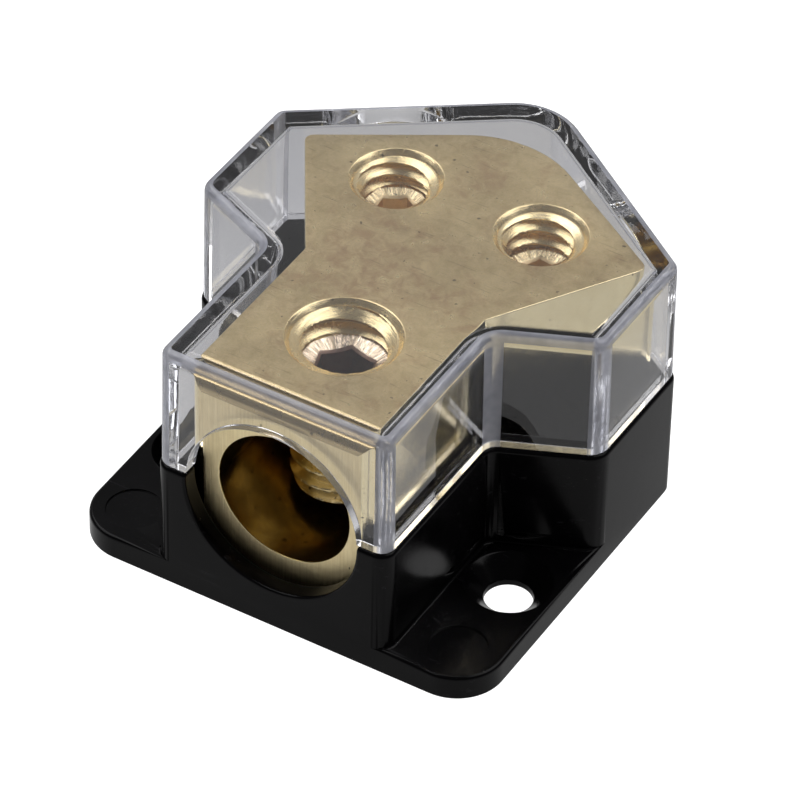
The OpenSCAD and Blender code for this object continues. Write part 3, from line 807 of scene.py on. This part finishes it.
def makeScrew(s):
    # One surface from the middle of the socket's floor, up the hexagon (radius = half flats / cos of the angle
    # from a flat's middle), over the mouth's chamfer and the sloping dish, round the threads, and under the
    # tip to its middle.
    t = thread
    turned = math.radians(s["turn"])
    angle = turned + np.arange(t["columns"]) * 2 * math.pi / t["columns"]
    hexR = s["hex"] / 2 / np.cos((angle - turned) % (math.pi / 3) - math.pi / 6)
    flat = 0 * angle
    outR = s["radius"] - t["clear"]
    topBevel, tipBevel = s["radius"] * head["topBevel"], s["radius"] * head["tipBevel"]
    dishR = outR - topBevel - head["lip"]
    floorZ = -head["socketDepth"] * s["hex"]
    z = -np.linspace(0, s["length"], int(s["length"] / s["pitch"] * t["rowsPerPitch"]))[:, None] + 0 * angle
    cone = np.minimum(outR - topBevel - z, outR - tipBevel + z + s["length"])
    radius = np.minimum(outR - threadCut(s, angle + 0 * z, z + s["topZ"]), cone)
    share = np.linspace(0, 1, head["dishRows"] + 2)[1:-1, None]
    mouthR = hexR + head["mouth"]
    dishZ = (mouthR - dishR) * head["dishSlope"]
    r = np.concatenate([[flat, hexR, hexR, mouthR], mouthR * (1 - share) + dishR * share, [dishR + flat],
                        radius, [flat]])
    z = np.concatenate([[floorZ - head["socketPoint"] + flat, floorZ + flat, dishZ - head["mouth"], dishZ],
                        dishZ * (1 - share), [flat], z, [flat - s["length"]]])
    rows = aroundAxis(s, r, angle + 0 * r, z + s["topZ"])
    faces = gridFaces(len(rows), rows.shape[1])
    piece = makePiece(s["name"], rows.reshape(-1, 3), faces, s["body"], [s["node"]])
    finishScrew(s, piece.data, dishR, floorZ, topBevel)
    shadeByAngle(piece, t["shadeAngle"])


for screw in (inputScrew, outputLeftScrew, outputRightScrew):
    makeThread(screw)
    makeScrew(screw)
nodes["fixing_screw"].data.materials.clear()
nodes["fixing_screw"].data.materials.append(steel)
print("threads and screws ready")

# the photograph's view: azimuth, elevation and roll in degrees, distance, target and sensor in mm, focal
# length and frame in pixels
view = {"azimuth": 30.2253, "elevation": 40.9932, "roll": 1.3009, "distance": 420.5985,
        "target": (0.811, -3.1376, 9.8135), "focal": 5654.84, "frame": 800, "sensor": 36}

# The floor's glow in reflections falls from floorNear to floorMid and floorFar at nearEdge, midEdge and
# farEdge metres from floorMiddle; seenGlow is what the camera sees. Panels: name, azimuth to the right of the
# camera, elevation (degrees), distance and size (m), brightness.
studio = {"floorNear": 0.56, "floorMid": 0.31, "floorFar": 0.11, "nearEdge": 0.04, "midEdge": 0.085,
          "farEdge": 0.19, "floorMiddle": (0.015, -0.042, 0), "floorHalf": 4, "seenGlow": 1.2,
          "floorTone": 0.16, "worldTone": (0.10, 0.10, 0.105, 1), "bounces": 16,
          "panels": [("leftPanel", -120, 58, 0.7, (0.6, 0.5), 2.8),
                     ("rightPanel", 104, 59, 0.7, (0.6, 0.5), 2.5),
                     ("backPanel", 180, 36, 0.8, (2.0, 1.1), 0.36)]}


def makeFloor():
    f = studio["floorHalf"]
    mesh = bpy.data.meshes.new("studioFloor")
    mesh.from_pydata([(-f, -f, 0), (f, -f, 0), (f, f, 0), (-f, f, 0)], [], [(0, 1, 2, 3)])
    floor = newObject("studioFloor", mesh)
    material, work = newMaterial("studioFloor")
    # white to the eye, as behind a cut-out product picture; in reflections and through the cover it is a light
    # grey that falls off with the distance from the part, like a lit table in a darker room
    seen = work.put("ShaderNodeLightPath").outputs["Is Camera Ray"]
    away = work.distance(work.put("ShaderNodeTexCoord").outputs["Object"], studio["floorMiddle"])
    grey = work.math("SUBTRACT", work.ramp(away, studio["nearEdge"], studio["midEdge"], studio["floorNear"],
                                           studio["floorMid"]),
                     work.ramp(away, studio["midEdge"], studio["farEdge"], 0,
                               studio["floorMid"] - studio["floorFar"]))
    work.surface(work.put("ShaderNodeBsdfPrincipled", {
        "Roughness": 0.9, "Specular IOR Level": 0.0, "Base Color": (studio["floorTone"],) * 3 + (1,),
        "Emission Color": (1, 1, 1, 1),
        "Emission Strength": work.ramp(seen, 0, 1, grey, studio["seenGlow"])}))
    mesh.materials.append(material)


def axesAt(azimuth, elevation):
    # unit vectors to the right of one who looks at the part from there, upwards and back
    az, el = math.radians(azimuth), math.radians(elevation)
    back = toArray([math.sin(az) * math.cos(el), -math.cos(az) * math.cos(el), math.sin(el)])
    right = toArray([math.cos(az), math.sin(az), 0])
    return right, np.cross(back, right), back


def turnTo(thing, axes):
    thing.rotation_mode = "QUATERNION"
    thing.rotation_quaternion = Matrix(np.stack(axes, axis=1).tolist()).to_quaternion()


def addPanel(name, turn, rise, distance, size, brightness):
    # a soft rectangle of light facing the part; a panel of brightness L and area A gives L x A x pi watts
    light = bpy.data.lights.new(name, "AREA")
    light.shape = "RECTANGLE"
    light.size, light.size_y = size
    light.energy = brightness * size[0] * size[1] * math.pi
    axes = axesAt(view["azimuth"] + turn, rise)
    lamp = newObject(name, light)
    turnTo(lamp, axes)
    lamp.location = axes[2] * distance


def makeCamera():
    v = view
    roll = math.radians(v["roll"])
    right, up, back = axesAt(v["azimuth"], v["elevation"])
    level = right * math.cos(roll) + up * math.sin(roll)
    upright = -right * math.sin(roll) + up * math.cos(roll)
    data = bpy.data.cameras.new("photoCamera")
    data.sensor_width = v["sensor"]
    data.lens = v["focal"] * v["sensor"] / v["frame"]
    data.clip_start, data.clip_end = 0.01, 20
    camera = newObject("photoCamera", data)
    turnTo(camera, (level, upright, back))
    camera.location = (toArray(v["target"]) + back * v["distance"]) * mm
    bpy.context.scene.camera = camera


def makeStudio():
    scene = bpy.context.scene
    world = bpy.data.worlds.new("studio")
    world.use_nodes = True
    world.node_tree.nodes["Background"].inputs["Color"].default_value = studio["worldTone"]
    scene.world = world
    makeFloor()
    for panel in studio["panels"]:
        addPanel(*panel)
    makeCamera()
    scene.view_settings.view_transform = "Standard"
    scene.view_settings.look = "None"
    # clear walls pass light on many times before it comes out
    for kind in ("max_bounces", "glossy_bounces", "transmission_bounces", "transparent_max_bounces"):
        setattr(scene.cycles, kind, studio["bounces"])


makeStudio()
print("studio ready")
